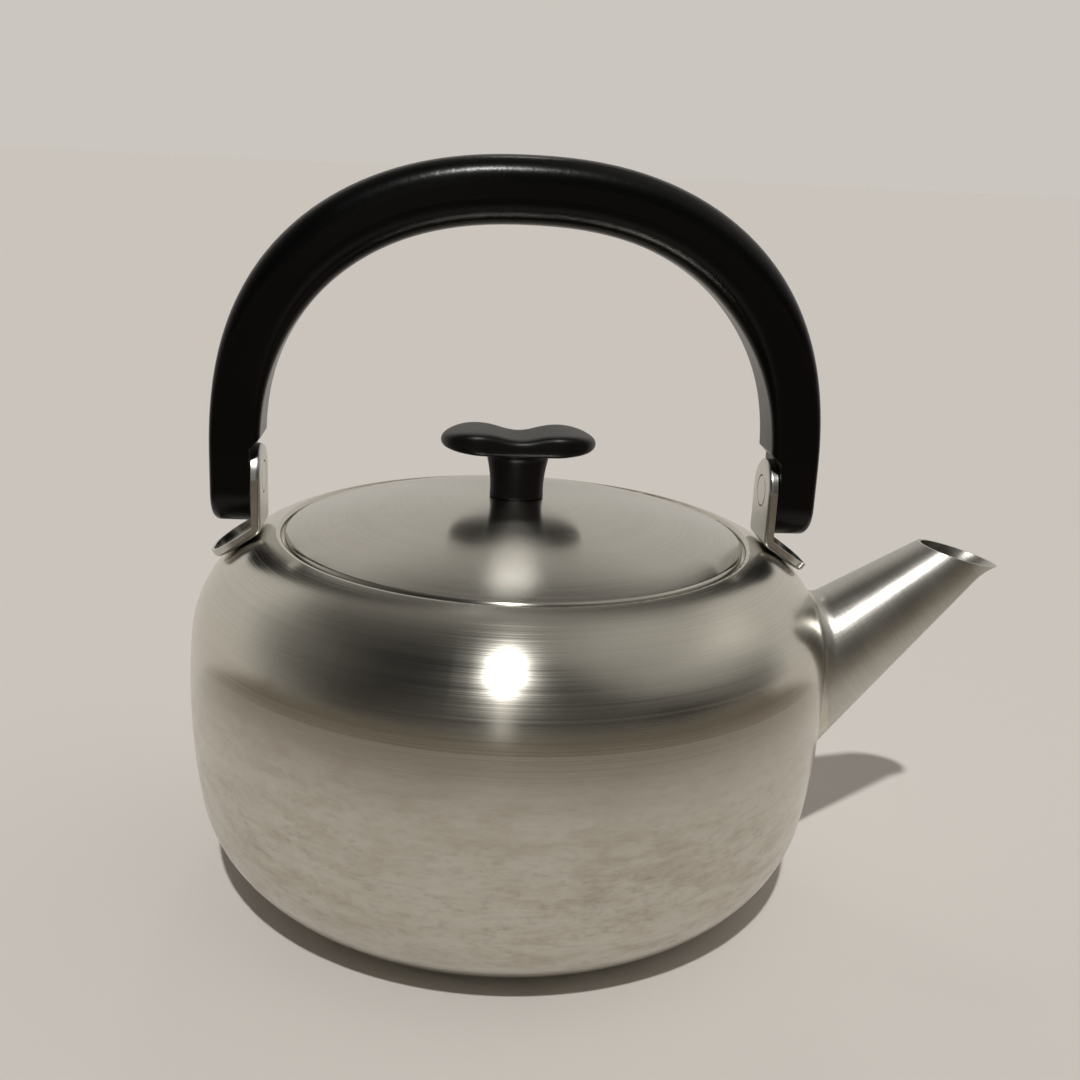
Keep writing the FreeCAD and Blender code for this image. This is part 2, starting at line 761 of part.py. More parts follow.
def bracket_layer(name, inset, outset):
    """The bracket's bent shape between two distances from its inner face."""
    top = f"pivot_z + ear_radius - {inset}"
    bend = f"(bracket_bend - {inset})"
    run = f"({bend} * tan(45 - foot_slope / 2))"
    reach = f"foot_reach - {inset}"
    inner_x = f"ear_face + {inset}"
    outer_x = f"ear_face + {outset}"

    def corner_z(offset):
        drop = f"(ear_face + {offset} - foot_x) * sin(foot_slope)"
        return f"foot_z + ({offset} - {drop}) / cos(foot_slope)"

    body = new_body(name)
    pad = padded(
        body,
        name + "_pad",
        [
            (inner_x, f"{corner_z(inset)} + {run}"),
            (
                f"{inner_x} + {run} * cos(foot_slope)",
                f"{corner_z(inset)} - {run} * sin(foot_slope)",
                bend,
            ),
            foot_point(reach, inset),
            foot_point(reach, outset),
            (outer_x, corner_z(outset)),
            (outer_x, top),
            (inner_x, top),
        ],
        f"2 * (ear_radius - {inset})",
    )

    def ends(above):
        def wanted(edge):
            depth = size(f"{outset} - {inset}")
            is_end = type(edge.Curve).__name__ == "Line" and abs(edge.Length - depth) < 0.001
            return is_end and (edge.CenterOfMass.z > size("pivot_z")) == above

        return wanted

    top_round = rounded(body, name + "_top", pad, ends(True), f"(ear_radius - {inset}) * 0.999")
    rounded(body, name + "_toe", top_round, ends(False), f"foot_corner - {inset}")
    return body


def round_the_back(edge):
    """True for the edges round a bracket's inner face and underside, but not across them."""
    slope = math.radians(size("foot_slope"))

    def depth(point):
        across = (point.x - size("foot_x")) * math.sin(slope)
        up = (point.z - size("foot_z")) * math.cos(slope)
        return min(point.x - size("ear_face"), across + up)

    is_line = type(edge.Curve).__name__ == "Line"
    goes_across = is_line and edge.Length > size("2 * ear_radius") - 0.01
    deepest = max(depth(vertex.Point) for vertex in edge.Vertexes)
    return not goes_across and deepest < size("bracket_depth") / 2


block = bracket_layer("bracket_block", "0", "bracket_depth")
rounded(block, "bracket_block_soft", block.Tip, round_the_back, "bracket_edge")
tray = boolean(
    "Part::Cut",
    "bracket_tray",
    block,
    bracket_layer("bracket_core", "bracket_sheet", "(bracket_depth + 4)"),
)
dish = cylinder("dish", "dish_radius", "dish_depth + dish_floor", "ear_face", "pivot_z")
recess = cylinder(
    "dish_recess", "pin_head_radius + head_clearance", "dish_depth + 1", "ear_face - 1", "pivot_z"
)
pin_hole = cylinder(
    "pin_hole",
    "pin_radius + running_clearance",
    "bracket_depth + 2",
    "ear_face - 1",
    "pivot_z",
)
dished = boolean("Part::Fuse", "dished_tray", tray, dish)
right_bracket = boolean(
    "Part::Cut",
    "right_bracket",
    boolean("Part::Cut", "recessed_tray", dished, recess),
    pin_hole,
)
left_bracket = mirrored("left_bracket", right_bracket)

# --------------------------------------------------------------------------- pivots


def on_pivot_axis(sketch):
    bind(sketch, AttachmentOffset__Base__y="pivot_z")


def turned_about_pivot(label, steps):
    body = new_body(label)
    turned(body, label + "_turned", steps, place=on_pivot_axis, axis="H_Axis")
    return body


PIN_END = "recess_face + pin_reach"
BUSH_START = "recess_face + spring_gap"
BUSH_END = f"{PIN_END} + 0.7"
HEAD_BACK = "ear_face + pin_head"
right_pivot_pin = turned_about_pivot(
    "right_pivot_pin",
    [
        ("ear_face", "0"),
        (PIN_END, "0"),
        (PIN_END, "pin_radius - 0.5"),
        (f"{PIN_END} - 0.5", "pin_radius"),
        (HEAD_BACK, "pin_radius"),
        (HEAD_BACK, "pin_head_radius"),
        ("ear_face + 0.3", "pin_head_radius"),
        ("ear_face", "pin_head_radius - 0.3"),
    ],
)
right_handle_insert = turned_about_pivot(
    "right_handle_insert",
    [
        (BUSH_START, "pin_radius + weld_gap"),
        (f"{PIN_END} + 0.2", "pin_radius + weld_gap"),
        (f"{PIN_END} + 0.2", "0"),
        (BUSH_END, "0"),
        (BUSH_END, "bush_radius"),
        (BUSH_START, "bush_radius"),
    ],
)
WASHER_START = "dish_back + spring_gap"
WASHER_END = "recess_face - spring_gap - spring_sheet"
right_spring_washer = turned_about_pivot(
    "right_spring_washer",
    [
        (WASHER_START, "pin_radius + 0.3"),
        (f"{WASHER_START} + spring_sheet", "pin_radius + 0.3"),
        (f"{WASHER_END} + spring_sheet", "spring_radius"),
        (WASHER_END, "spring_radius"),
    ],
)
left_pivot_pin = mirrored("left_pivot_pin", right_pivot_pin)
left_handle_insert = mirrored("left_handle_insert", right_handle_insert)
left_spring_washer = mirrored("left_spring_washer", right_spring_washer)

# --------------------------------------------------------------------------- handle


def blended(leg, grip, share):
    return f"({leg} + ({grip} - {leg}) * {share})"


def arch_section(number):
    """One cross-section of the handle's arch, square to the line it follows."""
    angle = 180 * number / (ARCH_SECTIONS - 1)
    across = f"abs(cos({angle})) ^ (2 / bail_power)"
    up = f"abs(sin({angle})) ^ (2 / bail_power)"
    side = 1 if angle <= 90 else -1
    turn = (
        f"atan2(({up}) ^ (bail_power - 1) / bail_rise;"
        f" {side} * ({across}) ^ (bail_power - 1) / bail_span)"
    )
    share = f"(1 - exp(-((sin({angle}) / swell_angle_sine) ^ swell_power)))"
    half_thick = blended("leg_full", "grip_thickness", share) + " / 2"
    half_wide = blended("leg_width", "grip_width", share) + " / 2"
    corner = blended("leg_corner", "grip_corner", share)
    sketch = new_sketch(arch, f"arch_section_{number}", "XY_Plane")
    sketch.AttachmentOffset = FreeCAD.Placement(
        V(0, 0, 0), FreeCAD.Rotation(V(0, -1, 0), size(turn))
    )
    bind(
        sketch,
        AttachmentOffset__Base__x=f"{side} * bail_span * {across}",
        AttachmentOffset__Base__z=f"arch_z + bail_rise * {up}",
        AttachmentOffset__Rotation__Angle=turn,
    )
    steps = []
    for x_side, y_side in ((1, 1), (-1, 1), (-1, -1), (1, -1)):
        flank = (f"{x_side} * {half_thick}", f"{y_side} * ({half_wide} - {corner})")
        face = (f"{x_side} * ({half_thick} - {corner})", f"{y_side} * {half_wide}")
        if x_side == y_side:
            steps += [flank, face + (corner,)]
        else:
            steps += [face, flank + (corner,)]
    return outline(sketch, steps)


arch = new_body("handle_arch")
sections = [arch_section(number) for number in range(ARCH_SECTIONS)]
loft = arch.newObject("PartDesign::AdditiveLoft", "arch_loft")
loft.Profile = sections[0]
loft.Sections = sections[1:]
doc.recompute()

leg = new_body("right_leg")
LEG_ROUND_Z = "pivot_z - leg_drop + leg_width / 2"
leg_pad = padded(
    leg,
    "leg_pad",
    [
        ("-leg_width / 2", LEG_ROUND_Z),
        ("0", "pivot_z - leg_drop", "leg_width / 2"),
        ("leg_width / 2", LEG_ROUND_Z, "leg_width / 2"),
        ("leg_width / 2", "arch_z"),
        ("-leg_width / 2", "arch_z"),
    ],
    "leg_full",
    role="YZ_Plane",
    place=lambda sketch: bind(sketch, AttachmentOffset__Base__z="bail_span"),
)


def on_leg_face(edge):
    """True for the edges round a leg's inner and outer faces, but not across its top."""
    box = edge.BoundBox
    return box.XLength < 0.01 and box.ZMin < size("arch_z") - 0.01


rounded(leg, "leg_rounds", leg_pad, on_leg_face, "leg_corner")

right_notch = new_body("right_notch")
padded(
    right_notch,
    "notch",
    [
        ("leg_inner - leg_full", "pivot_z - leg_width"),
        ("recess_face", "pivot_z - leg_width"),
        ("recess_face", "pivot_z + notch_rise"),
        ("leg_inner - leg_full", "pivot_z + notch_rise + leg_recess + leg_full"),
    ],
    "leg_width * 2",
)
right_bore = cylinder(
    "right_bore",
    "bush_radius + weld_gap",
    f"{BUSH_END} - recess_face + 1 + weld_gap",
    "recess_face - 1",
    "pivot_z",
)
right_cut = boolean("Part::Fuse", "right_cut", right_notch, right_bore)
bail = boolean(
    "Part::Fuse",
    "bail_blank",
    boolean("Part::Fuse", "arch_and_leg", arch, leg),
    mirrored("left_leg", leg),
)
handle = boolean(
    "Part::Cut",
    "handle",
    boolean("Part::Cut", "bail_with_one_notch", bail, right_cut),
    mirrored("left_cut", right_cut),
)

# --------------------------------------------------------------------------- check and write

doc.recompute()
NODES = [
    body_shell,
    spout,
    base_plate,
    left_bracket,
    right_bracket,
    handle,
    left_pivot_pin,
    right_pivot_pin,
    left_handle_insert,
    right_handle_insert,
    left_spring_washer,
    right_spring_washer,
    lid_dome,
    lid_skirt,
    lid_knob,
    knob_insert,
    knob_screw,
    knob_washer,
]
for thing in doc.Objects:
    if {"Invalid", "Error"} & set(thing.State):
        raise RuntimeError(f"{thing.Label} could not be built: {thing.State}")
for node in NODES:
    shape = node.Shape
    if shape.isNull() or not shape.isValid() or len(shape.Solids) != 1:
        raise RuntimeError(f"{node.Label} is not one sound solid")

os.makedirs("parts", exist_ok=True)
for node in NODES:
    node.Shape.exportStep(f"parts/{node.Label}.step")
print(f"{len(NODES)} sub-parts written")
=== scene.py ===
import bpy
import bmesh
import math
from mathutils import Matrix, Vector


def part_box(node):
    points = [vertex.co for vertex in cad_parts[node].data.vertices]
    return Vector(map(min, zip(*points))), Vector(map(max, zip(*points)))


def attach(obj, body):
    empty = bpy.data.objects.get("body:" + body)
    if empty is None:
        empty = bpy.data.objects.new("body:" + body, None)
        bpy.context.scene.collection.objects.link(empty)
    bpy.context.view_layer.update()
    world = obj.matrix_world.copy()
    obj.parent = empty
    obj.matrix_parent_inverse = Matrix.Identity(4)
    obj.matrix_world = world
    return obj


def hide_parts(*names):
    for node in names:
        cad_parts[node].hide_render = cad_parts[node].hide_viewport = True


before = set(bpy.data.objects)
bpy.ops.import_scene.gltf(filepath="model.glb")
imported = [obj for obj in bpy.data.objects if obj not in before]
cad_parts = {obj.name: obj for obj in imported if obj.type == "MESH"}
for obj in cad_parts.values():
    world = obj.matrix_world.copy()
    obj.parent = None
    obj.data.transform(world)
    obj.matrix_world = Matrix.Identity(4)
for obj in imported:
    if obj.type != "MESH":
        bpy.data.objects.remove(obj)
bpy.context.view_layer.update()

# Camera: a phone held at arm's length, a little above the kettle and turned a few degrees
# to its left, so that the lid shows as a shallow ellipse.
camera_data = bpy.data.cameras.new("camera")
camera_data.sensor_width = 36
camera_data.lens = 43.09
camera = bpy.data.objects.new("camera", camera_data)
bpy.context.collection.objects.link(camera)
camera_turn = math.radians(-5.025)
camera_rise = math.radians(16.16)
camera_roll = math.radians(2.823)
back = Vector((
    math.sin(camera_turn) * math.cos(camera_rise),
    -math.cos(camera_turn) * math.cos(camera_rise),
    math.sin(camera_rise),
))
level = Vector((math.cos(camera_turn), math.sin(camera_turn), 0))
upright = back.cross(level)
right = math.cos(camera_roll) * level + math.sin(camera_roll) * upright
up = math.cos(camera_roll) * upright - math.sin(camera_roll) * level
camera.matrix_world = Matrix.Translation((-0.0256, -0.3818, 0.2176)) @ Matrix(
    (right, up, back)
).transposed().to_4x4()
bpy.context.scene.camera = camera

# Floor: a pale matt sheet that runs flat under the kettle and so far past it on all sides
# that its edge is lost in the pale room.
floor_mesh = bmesh.new()
bmesh.ops.create_grid(floor_mesh, x_segments=1, y_segments=1, size=40)
floor_data = bpy.data.meshes.new("floor")
floor_mesh.to_mesh(floor_data)
floor_mesh.free()
floor = bpy.data.objects.new("floor", floor_data)
bpy.context.collection.objects.link(floor)
floor_paint = bpy.data.materials.new("pale_floor")
floor_paint.use_nodes = True
floor_shader = floor_paint.node_tree.nodes["Principled BSDF"]
floor_shader.inputs["Base Color"].default_value = (0.735, 0.70, 0.665, 1)
floor_shader.inputs["Roughness"].default_value = 0.9
floor_shader.inputs["Specular IOR Level"].default_value = 0.0
floor_data.materials.append(floor_paint)

# A card that only mirrors can see lies round the front and sides of the kettle. It is painted
# shade, seen only in the steel's reflections. It fades from the sheet's own paleness to dark, so
# the steel has something dark to mirror.
shade_card_start = 0.17
shade_card_dark = 0.42
shade_card_end = 6
shade_card_back = 0.12
shade_card_lift = 0.001
shade_card_mesh = bmesh.new()
bmesh.ops.create_circle(shade_card_mesh, segments=96, radius=shade_card_start)
bmesh.ops.create_circle(shade_card_mesh, segments=96, radius=shade_card_end)
bmesh.ops.bridge_loops(shade_card_mesh, edges=shade_card_mesh.edges[:])
bmesh.ops.bisect_plane(
    shade_card_mesh,
    geom=shade_card_mesh.verts[:] + shade_card_mesh.edges[:] + shade_card_mesh.faces[:],
    plane_co=(0, shade_card_back, 0),
    plane_no=(0, 1, 0),
    clear_outer=True,
)
bmesh.ops.translate(shade_card_mesh, vec=(0, 0, shade_card_lift), verts=shade_card_mesh.verts[:])
shade_card_data = bpy.data.meshes.new("reflected_shade_card")
shade_card_mesh.to_mesh(shade_card_data)
shade_card_mesh.free()
shade_card = bpy.data.objects.new("reflected_shade_card", shade_card_data)
bpy.context.collection.objects.link(shade_card)
shade_card.visible_camera = False
shade_card.visible_diffuse = False
shade_card.visible_shadow = False
reflected_shade_paint = bpy.data.materials.new("reflected_shade_card")
reflected_shade_paint.use_nodes = True
shade_card_shader = reflected_shade_paint.node_tree.nodes["Principled BSDF"]
shade_card_tree = reflected_shade_paint.node_tree
shade_card_place = shade_card_tree.nodes.new("ShaderNodeTexCoord").outputs["Object"]
shade_card_reach = shade_card_tree.nodes.new("ShaderNodeVectorMath")
shade_card_reach.operation = "LENGTH"
shade_card_tree.links.new(shade_card_place, shade_card_reach.inputs[0])
# Painted shade for reflections: the card darkens from the floor's paleness outward, and only the
# steel mirrors it.
shade_card_fade = shade_card_tree.nodes.new("ShaderNodeValToRGB")
shade_card_fade.color_ramp.interpolation = "EASE"
pale_end, dark_end = shade_card_fade.color_ramp.elements
pale_end.position = shade_card_start
pale_end.color = (0.735, 0.70, 0.665, 1)
dark_end.position = shade_card_dark
dark_end.color = (0.17, 0.14, 0.10, 1)
shade_card_tree.links.new(shade_card_reach.outputs["Value"], shade_card_fade.inputs["Fac"])
shade_card_tree.links.new(shade_card_fade.outputs["Color"], shade_card_shader.inputs["Base Color"])
shade_card_shader.inputs["Roughness"].default_value = 1
shade_card_shader.inputs["Specular IOR Level"].default_value = 0
shade_card_data.materials.append(reflected_shade_paint)

# Light: a small strong lamp high up on the camera's side, a faint one behind the kettle,
# and a pale wall behind it that fades to a dim room on the camera's side. A soft upright
# strip of light below the lamp draws the streak that brushed steel shows there.


def far_light(name, turn, rise, across, power, colour):
    """A light too far off to fade, named by the bearing and height that it shines from."""
    lamp = bpy.data.lights.new(name, "SUN")
    lamp.energy = power
    lamp.angle = math.radians(across)
    lamp.color = colour
    shown = bpy.data.objects.new(name, lamp)
    turn, rise = math.radians(turn), math.radians(rise)
    away = Vector((
        math.cos(turn) * math.cos(rise), math.sin(turn) * math.cos(rise), math.sin(rise)
    ))
    shown.matrix_world = away.to_track_quat("Z", "Y").to_matrix().to_4x4()
    bpy.context.collection.objects.link(shown)


far_light("lamp", -95, 58, 2, 1.9, (1, 0.985, 0.96))
far_light("ceiling", 86, 53, 7, 0.06, (1, 0.98, 0.95))

room = bpy.data.worlds.new("room")
room.use_nodes = True
bpy.context.scene.world = room
room_tree = room.node_tree
toward = room_tree.nodes.new("ShaderNodeTexCoord").outputs["Generated"]


def room_glow(source, low, high, to_low, to_high):
    node = room_tree.nodes.new("ShaderNodeMapRange")
    node.interpolation_type = "SMOOTHSTEP"
    room_tree.links.new(source, node.inputs["Value"])
    node.inputs["From Min"].default_value = low
    node.inputs["From Max"].default_value = high
    node.inputs["To Min"].default_value = to_low
    node.inputs["To Max"].default_value = to_high
    return node.outputs["Result"]


def room_side(turn, rise):
    """How nearly a direction points to one side of the room."""
    node = room_tree.nodes.new("ShaderNodeVectorMath")
    node.operation = "DOT_PRODUCT"
    room_tree.links.new(toward, node.inputs[0])
    turn, rise = math.radians(turn), math.radians(rise)
    node.inputs[1].default_value = (
        math.cos(turn) * math.cos(rise), math.sin(turn) * math.cos(rise), math.sin(rise)
    )
    return node.outputs["Value"]


def room_product(first, second):
    node = room_tree.nodes.new("ShaderNodeMath")
    node.operation = "MULTIPLY"
    room_tree.links.new(first, node.inputs[0])
    room_tree.links.new(second, node.inputs[1])
    return node.outputs[0]


wall = room_glow(room_side(90, 0), -0.62, 0.6, 0.07, 0.60)
wall = room_product(wall, room_glow(room_side(0, 90), 0.58, 0.8, 1, 0.45))
wall = room_product(wall, room_glow(room_side(-160, 48), 0.6, 0.95, 1, 0.45))
wall = room_product(wall, room_glow(room_side(-15, 6), 0.8, 0.97, 1, 0.45))
strip = room_product(
    room_glow(room_side(-5, 0), -0.12, 0.0, 0, 1), room_glow(room_side(-5, 0), 0.0, 0.12, 1, 0)
)
strip = room_product(strip, room_glow(room_side(-95, 20), 0.35, 0.85, 0, 0.45))
shine = room_tree.nodes.new("ShaderNodeMath")
shine.operation = "ADD"
room_tree.links.new(wall, shine.inputs[0])
room_tree.links.new(strip, shine.inputs[1])
glow = room_tree.nodes.new("ShaderNodeMath")
glow.operation = "ADD"
room_tree.links.new(shine.outputs[0], glow.inputs[0])
room_tree.links.new(room_glow(room_side(-10, 50), 0.75, 0.97, 0, 0.3), glow.inputs[1])
room_light = room_tree.nodes["Background"]
room_light.inputs["Color"].default_value = (1, 0.955, 0.89, 1)
room_tree.links.new(glow.outputs[0], room_light.inputs["Strength"])
backdrop = room_tree.nodes.new("ShaderNodeBackground")
backdrop.inputs["Color"].default_value = (0.597, 0.565, 0.521, 1)
seen = room_tree.nodes.new("ShaderNodeLightPath").outputs["Is Camera Ray"]
either = room_tree.nodes.new("ShaderNodeMixShader")
room_tree.links.new(seen, either.inputs[0])
room_tree.links.new(room_light.outputs[0], either.inputs[1])
room_tree.links.new(backdrop.outputs[0], either.inputs[2])
room_tree.links.new(either.outputs[0], room_tree.nodes["World Output"].inputs["Surface"])
bpy.context.scene.view_settings.view_transform = "Standard"


# Body: one deep-drawn shell of stainless steel about 0.8 mm thick, its side drawn out
# into a short collar for the spout. It is brushed round and round with a fine belt, and
# years of washing have left soft blotches on the lower half.
class Finish:
    """The nodes of one material, joined up by name."""

    def __init__(self, name):
        self.material = bpy.data.materials.new(name)
        self.material.use_nodes = True
        self.tree = self.material.node_tree
        self.shader = self.tree.nodes["Principled BSDF"]

    def put(self, kind, links=None, values=None, **settings):
        node = self.tree.nodes.new(kind)
        for key, value in settings.items():
            setattr(node, key, value)
        for key, value in (values or {}).items():
            node.inputs[key].default_value = value
        for key, source in (links or {}).items():
            self.tree.links.new(source, node.inputs[key])
        return node

    def drive(self, socket, source):
        self.tree.links.new(source, self.shader.inputs[socket])

    def sum_of(self, first, second, kind="ADD", clamp=False):
        node = self.put("ShaderNodeMath", operation=kind, use_clamp=clamp)
        for slot_number, part in enumerate((first, second)):
            if isinstance(part, (int, float)):
                node.inputs[slot_number].default_value = part
            else:
                self.tree.links.new(part, node.inputs[slot_number])
        return node.outputs[0]

    def spread(self, source, low, high, to_low=0, to_high=1):
        node = self.put("ShaderNodeMapRange", {"Value": source})
        node.inputs["From Min"].default_value = low
        node.inputs["From Max"].default_value = high
        node.inputs["To Min"].default_value = to_low
        node.inputs["To Max"].default_value = to_high
        return node.outputs["Result"]

    def noise(self, vector, scale, detail=2, w=None, roughness=0.5):
        node = self.put("ShaderNodeTexNoise", {"Vector": vector})
        node.inputs["Scale"].default_value = scale
        node.inputs["Detail"].default_value = detail
        node.inputs["Roughness"].default_value = roughness
        if w is not None:
            node.noise_dimensions = "4D"
            self.tree.links.new(w, node.inputs["W"])
        return node.outputs["Fac"]

    def stretched(self, vector, x, y, z):
        node = self.put("ShaderNodeMapping", {"Vector": vector})
        node.inputs["Scale"].default_value = (x, y, z)
        return node.outputs["Vector"]

    def give(self, *pieces):
        for piece in pieces:
            piece.data.materials.clear()
            piece.data.materials.append(self.material)


def turned_steel(name, colour, roughness, grain, stains_below=None):
    """Stainless steel brushed round the upright axis."""
    scratch_width = 0.0012
    broad_share = 0.06
    steel = Finish(name)
    steel.shader.inputs["Metallic"].default_value = 1
    steel.shader.inputs["Anisotropic"].default_value = 0.8
    steel.shader.inputs["Anisotropic Rotation"].default_value = 0.25
    place = steel.put("ShaderNodeTexCoord").outputs["Object"]
    split = steel.put("ShaderNodeSeparateXYZ", {"Vector": place})
    flat = steel.put(
        "ShaderNodeCombineXYZ", {"X": split.outputs["X"], "Y": split.outputs["Y"]}
    )
    radius = steel.put("ShaderNodeVectorMath", {0: flat.outputs[0]}, operation="LENGTH")
    radius = radius.outputs["Value"]
    height = split.outputs["Z"]
    tangent = steel.put("ShaderNodeTangent", direction_type="RADIAL", axis="Z")
    steel.drive("Tangent", tangent.outputs[0])
    along_ring = steel.stretched(place, 7, 7, grain)
    fine = steel.noise(along_ring, 1, 1, steel.sum_of(radius, grain, "MULTIPLY"), 0.6)
    broad_grain = grain * broad_share
    broad_ring = steel.stretched(place, 4, 4, broad_grain)
    broad = steel.noise(broad_ring, 1, 3, steel.sum_of(radius, broad_grain, "MULTIPLY"), 0.6)
    speck = steel.noise(steel.stretched(place, 260, 260, 620), 1, 5, None, 0.7)
    blotch = steel.noise(steel.stretched(place, 60, 60, 170), 1, 7, None, 0.74)
    drift = steel.noise(steel.stretched(place, 12, 12, 26), 1, 3, None, 0.6)
    cloud = steel.noise(place, 14, 2)
    if stains_below:
        low_part = steel.spread(height, stains_below, stains_below * 0.5)
    else:
        low_part = steel.spread(cloud, 0.4, 0.7, 0, 0.35)
    stain = steel.sum_of(steel.spread(blotch, 0.42, 0.62), low_part, "MULTIPLY")
    stain = steel.sum_of(stain, steel.spread(drift, 0.34, 0.6, 0.25, 1), "MULTIPLY")
    fleck = steel.sum_of(steel.spread(speck, 0.5, 0.68), low_part, "MULTIPLY")
    scratch_field = steel.noise(steel.stretched(place, 21, 21, 33), 1, 1)
    scratch_line = steel.sum_of(scratch_field, 0.5, "SUBTRACT")
    scratch_line = steel.put("ShaderNodeMath", {0: scratch_line}, operation="ABSOLUTE").outputs[0]
    scratch_line = steel.spread(scratch_line, 0.0, scratch_width, 1, 0)
    scratch_gate = steel.spread(steel.noise(place, 55, 2), 0.63, 0.66)
    scratch = steel.sum_of(scratch_line, scratch_gate, "MULTIPLY")
    tone = steel.sum_of(
        steel.spread(fine, 0.3, 0.7, 0.95, 1.04),
        steel.spread(broad, 0.3, 0.7, 0.98, 1.02),
        "MULTIPLY",
    )
    tone = steel.sum_of(tone, steel.spread(stain, 0, 1, 1.03, 0.84), "MULTIPLY")
    tone = steel.sum_of(tone, steel.spread(fleck, 0, 1, 1.02, 0.86), "MULTIPLY")
    tint = steel.put(
        "ShaderNodeMix",
        {0: steel.sum_of(stain, 0.7, "MULTIPLY")},
        {6: colour + (1,), 7: (colour[0] * 0.98, colour[1] * 0.92, colour[2] * 0.84, 1)},
        data_type="RGBA",
    )
    shade = steel.put("ShaderNodeVectorMath", {0: tint.outputs[2], 3: tone}, operation="SCALE")
    steel.drive("Base Color", shade.outputs[0])
    rough = steel.sum_of(steel.spread(fine, 0.3, 0.7, -0.03, 0.03), roughness)
    rough = steel.sum_of(rough, steel.spread(stain, 0, 1, 0, 0.06))
    rough = steel.sum_of(rough, steel.spread(scratch, 0, 1, 0, -0.1))
    steel.drive("Roughness", rough)
    relief = steel.sum_of(fine, steel.sum_of(broad, 0.3, "MULTIPLY"))
    relief = steel.sum_of(relief, steel.sum_of(scratch, -0.8, "MULTIPLY"))
    bump = steel.put("ShaderNodeBump", {"Height": relief})
    bump.inputs["Strength"].default_value = 0.03
    bump.inputs["Distance"].default_value = 0.0004
    steel.drive("Normal", bump.outputs[0])
    return steel


body_finish = turned_steel("body_steel", (0.60, 0.578, 0.515), 0.205, 3600, stains_below=0.088)
body_finish.give(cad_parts["body_shell"])

# Base plate: a pressed disc of the same sheet, let into the shell and welded from inside.
base_finish = turned_steel("base_steel", (0.52, 0.51, 0.49), 0.36, 1800)
base_finish.give(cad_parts["base_plate"])

# Lid: a shallow dome spun from thin sheet, its edge turned down, with a ring welded
# under it that drops into the mouth.
lid_finish = turned_steel("lid_steel", (0.53, 0.513, 0.463), 0.19, 3600)
lid_finish.give(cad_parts["lid_dome"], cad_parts["lid_skirt"])


# Spout: a straight cone rolled from sheet and welded to the body's collar, its mouth cut on
# a slant. It is brushed both round and along, so that the light runs along it.
def plain_steel(name, colour, roughness, tangent_axis=None, grain=1500):
    steel = Finish(name)
    steel.shader.inputs["Metallic"].default_value = 1
    place = steel.put("ShaderNodeTexCoord").outputs["Object"]
    lie = place
    if tangent_axis:
        steel.shader.inputs["Anisotropic"].default_value = 0.45
        steel.shader.inputs["Anisotropic Rotation"].default_value = 0.25
        normal = steel.put("ShaderNodeNewGeometry").outputs["Normal"]
        around = steel.put(
            "ShaderNodeVectorMath", {1: normal}, {0: tangent_axis}, operation="CROSS_PRODUCT"
        )
        steel.drive("Tangent", around.outputs[0])
        turn = steel.put("ShaderNodeMapping", {"Vector": place})
        turn.inputs["Rotation"].default_value = (0, math.atan2(tangent_axis[2], tangent_axis[0]), 0)
        lie = turn.outputs["Vector"]
    across = steel.noise(steel.stretched(lie, grain, 40, 40), 1, 2)
    lengthwise = steel.noise(steel.stretched(lie, 30, grain, grain), 1, 2)
    cloud = steel.noise(place, 60, 4)
    tone = steel.sum_of(
        steel.spread(across, 0.3, 0.7, 0.95, 1.04),
        steel.spread(cloud, 0.3, 0.7, 0.95, 1.04),
        "MULTIPLY",
    )
    shade = steel.put("ShaderNodeVectorMath", {3: tone}, {0: colour}, operation="SCALE")
    steel.drive("Base Color", shade.outputs[0])
    rough = steel.sum_of(steel.spread(cloud, 0.3, 0.7, -0.04, 0.05), roughness)
    steel.drive("Roughness", rough)
    relief = steel.sum_of(across, steel.sum_of(lengthwise, 0.4, "MULTIPLY"))
    bump = steel.put("ShaderNodeBump", {"Height": relief})
    bump.inputs["Strength"].default_value = 0.14
    bump.inputs["Distance"].default_value = 0.0003
    steel.drive("Normal", bump.outputs[0])
    return steel


spout_tilt = math.radians(39.9)
spout_finish = plain_steel(
    "spout_steel", (0.55, 0.535, 0.495), 0.37, (math.cos(spout_tilt), 0, math.sin(spout_tilt))
)
spout_finish.give(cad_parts["spout"])

# Brackets: pressed from 1 mm strip, tumbled so that their edges are soft and bright, and
# spot-welded to the shoulder.
bracket_finish = plain_steel("bracket_steel", (0.62, 0.61, 0.58), 0.24, grain=700)
bracket_finish.give(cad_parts["left_bracket"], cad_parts["right_bracket"])

# Pins, washers and screw: turned or stamped steel parts that hold the handle and the knob.
pin_finish = plain_steel("pin_steel", (0.63, 0.62, 0.59), 0.22, grain=900)
pin_finish.give(
    *(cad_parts[name] for name in (
        "left_pivot_pin", "right_pivot_pin", "left_spring_washer", "right_spring_washer",
        "knob_screw", "knob_washer",
    ))
)

# Inserts: turned brass bushes, moulded into the handle's legs and the knob's stem.
brass_finish = plain_steel("insert_brass", (0.72, 0.52, 0.22), 0.3, grain=900)
brass_finish.give(
    *(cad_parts[name] for name in ("left_handle_insert", "right_handle_insert", "knob_insert"))
)


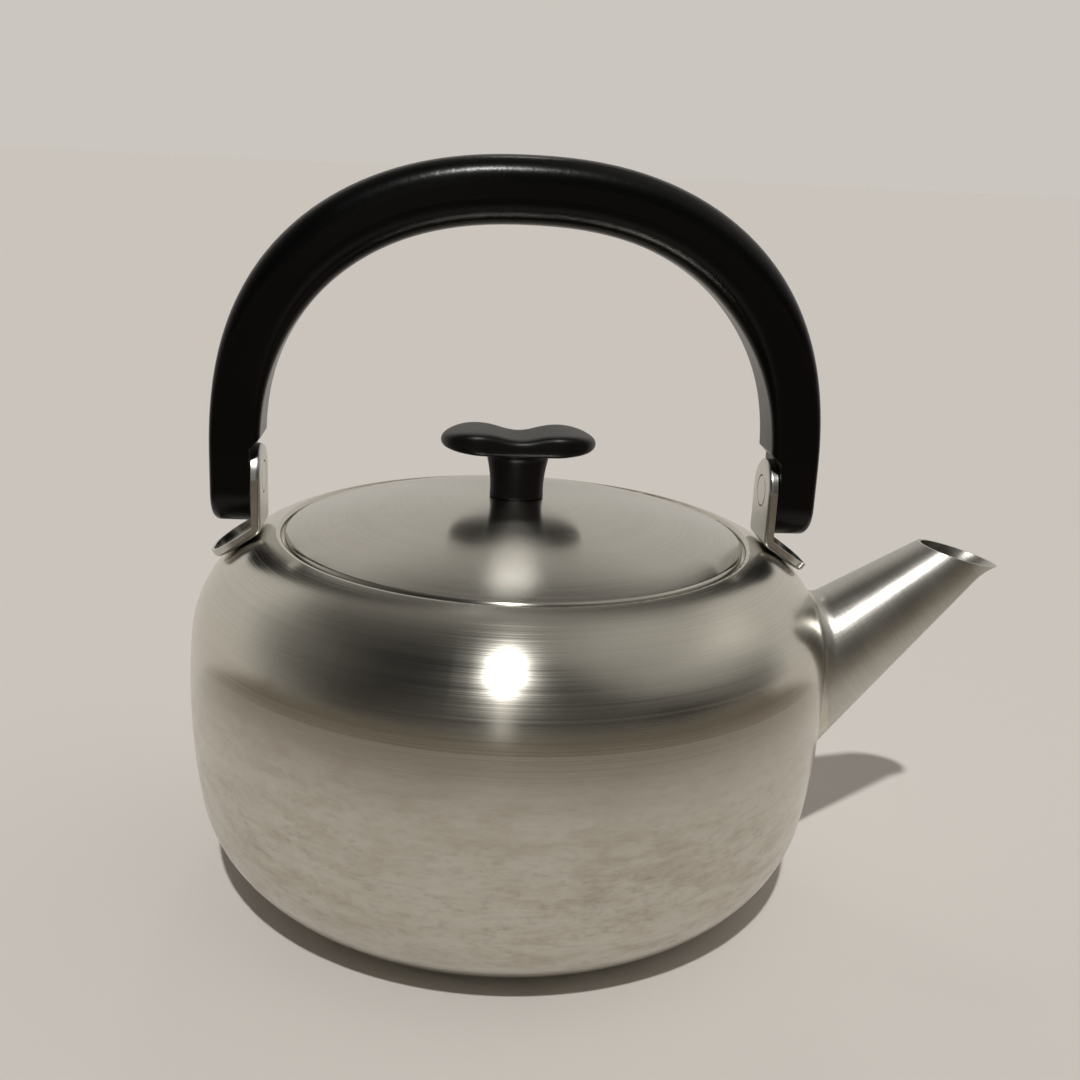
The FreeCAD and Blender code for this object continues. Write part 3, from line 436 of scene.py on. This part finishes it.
# Handle and knob: black phenolic, compression-moulded and tumbled to a satin gloss.
def phenolic(name, roughness, gloss):
    black = Finish(name)
    place = black.put("ShaderNodeTexCoord").outputs["Object"]
    cloud = black.noise(place, 30, 4)
    grain = black.noise(place, 2600, 2)
    peel = black.noise(place, 420, 2)
    tone = black.spread(cloud, 0.3, 0.7, 0.8, 1.25)
    shade = black.put(
        "ShaderNodeVectorMath", {3: tone}, {0: (0.0012, 0.0012, 0.0012)}, operation="SCALE"
    )
    black.drive("Base Color", shade.outputs[0])
    rough = black.sum_of(black.spread(cloud, 0.3, 0.7, -0.03, 0.04), roughness)
    black.drive("Roughness", rough)
    black.shader.inputs["Specular IOR Level"].default_value = gloss
    relief = black.sum_of(black.sum_of(grain, 0.5, "MULTIPLY"), peel)
    bump = black.put("ShaderNodeBump", {"Height": relief})
    bump.inputs["Strength"].default_value = 0.1
    bump.inputs["Distance"].default_value = 0.0003
    black.drive("Normal", bump.outputs[0])
    return black


handle_finish = phenolic("handle_phenolic", 0.24, 0.22)
handle_finish.give(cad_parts["handle"])

# Knob: a moulding of the same black phenolic, two lobes for thumb and finger on a flared
# stem, its rim tumbled so far round that no edge is left. A screw from under the lid holds
# it. The rim is rounded here on a copy of the plain moulding, above the stem only.
weld_reach = 0.00001
grid_step = 0.00045
plate_depth = 0.0095
smoothing_rounds = 34
knob_mesh = bmesh.new()
knob_mesh.from_mesh(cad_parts["lid_knob"].data)
bmesh.ops.remove_doubles(knob_mesh, verts=knob_mesh.verts[:], dist=weld_reach)
knob_data = bpy.data.meshes.new("knob")
knob_mesh.to_mesh(knob_data)
knob_mesh.free()
knob = bpy.data.objects.new("knob", knob_data)
bpy.context.collection.objects.link(knob)
close_grid = knob.modifiers.new("close_grid", "REMESH")
close_grid.mode = "VOXEL"
close_grid.voxel_size = grid_step
shown_knob = knob.evaluated_get(bpy.context.evaluated_depsgraph_get())
knob_mesh = bmesh.new()
knob_mesh.from_mesh(shown_knob.data)
knob.modifiers.clear()
knob_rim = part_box("lid_knob")[1][2] - plate_depth
for smoothing_round in range(smoothing_rounds):
    bmesh.ops.smooth_vert(
        knob_mesh,
        verts=[vert for vert in knob_mesh.verts if vert.co.z > knob_rim],
        factor=0.5,
        use_axis_x=True,
        use_axis_y=True,
        use_axis_z=True,
    )
for face in knob_mesh.faces:
    face.smooth = True
knob_mesh.to_mesh(knob_data)
knob_mesh.free()
knob_finish = phenolic("knob_phenolic", 0.4, 0.3)
knob_finish.give(knob)
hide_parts("lid_knob")
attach(knob, "lid")
